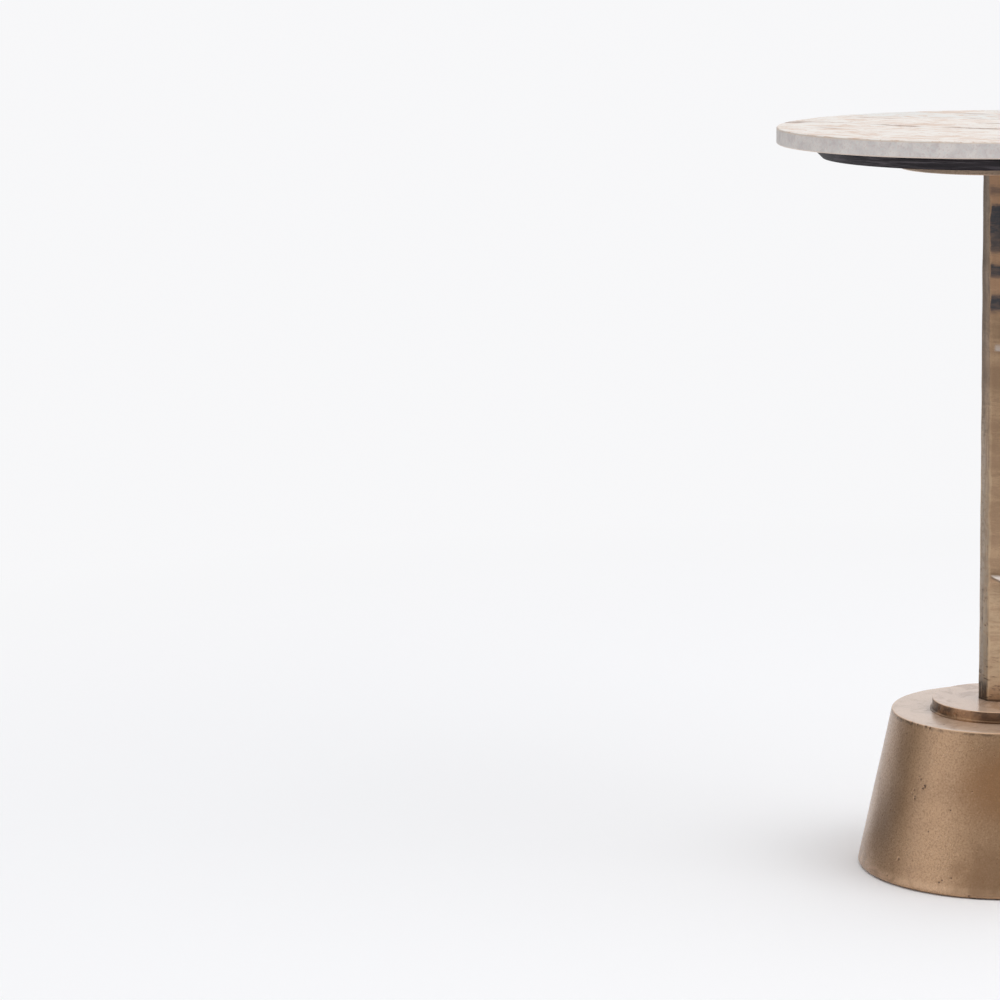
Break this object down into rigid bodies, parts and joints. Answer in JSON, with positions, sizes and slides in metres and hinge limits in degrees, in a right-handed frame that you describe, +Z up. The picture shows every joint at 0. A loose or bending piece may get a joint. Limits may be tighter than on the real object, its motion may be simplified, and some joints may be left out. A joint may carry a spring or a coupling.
{
  "type": "wine table",
  "caption": "Small round pedestal table: veined stone top on a black bevelled board, hammered octagonal bronze column, step plate and hollow cone base, made to hold drinks beside a chair.",
  "frame": {"origin": "on the floor, under the axis of the column", "axes": "+Z up along the column; -Y is the front, square to one flat of the column"},
  "size_m": [0.3809, 0.381, 0.635],
  "materials": {
    "stone": "honed",
    "silicone": "matte",
    "black_board": "satin black paint",
    "insert_brass": "plain",
    "bronze_plate": "antique bronze, satin",
    "forged_bronze": "antique bronze, hammered",
    "cast_bronze": "antique bronze, cast and brushed",
    "plain_steel": "turned",
    "zinc_steel": "zinc plated",
    "felt": "felt"
  },
  "bodies": {
    "root": {"stone_top": "stone", "bond_pads": "silicone", "sub_top": "black_board", "threaded_inserts": "insert_brass", "top_flange": "bronze_plate", "flange_screws": "zinc_steel", "flange_washers": "zinc_steel", "column": "forged_bronze", "head_plug": "plain_steel", "head_screw": "zinc_steel", "foot_plug": "plain_steel", "collar_plate": "bronze_plate", "dowel_pins": "plain_steel", "base_casting": "cast_bronze", "base_bolt": "zinc_steel", "base_washer": "zinc_steel", "base_spring_washer": "zinc_steel", "floor_pads": "felt"}
  },
  "joints": []
}
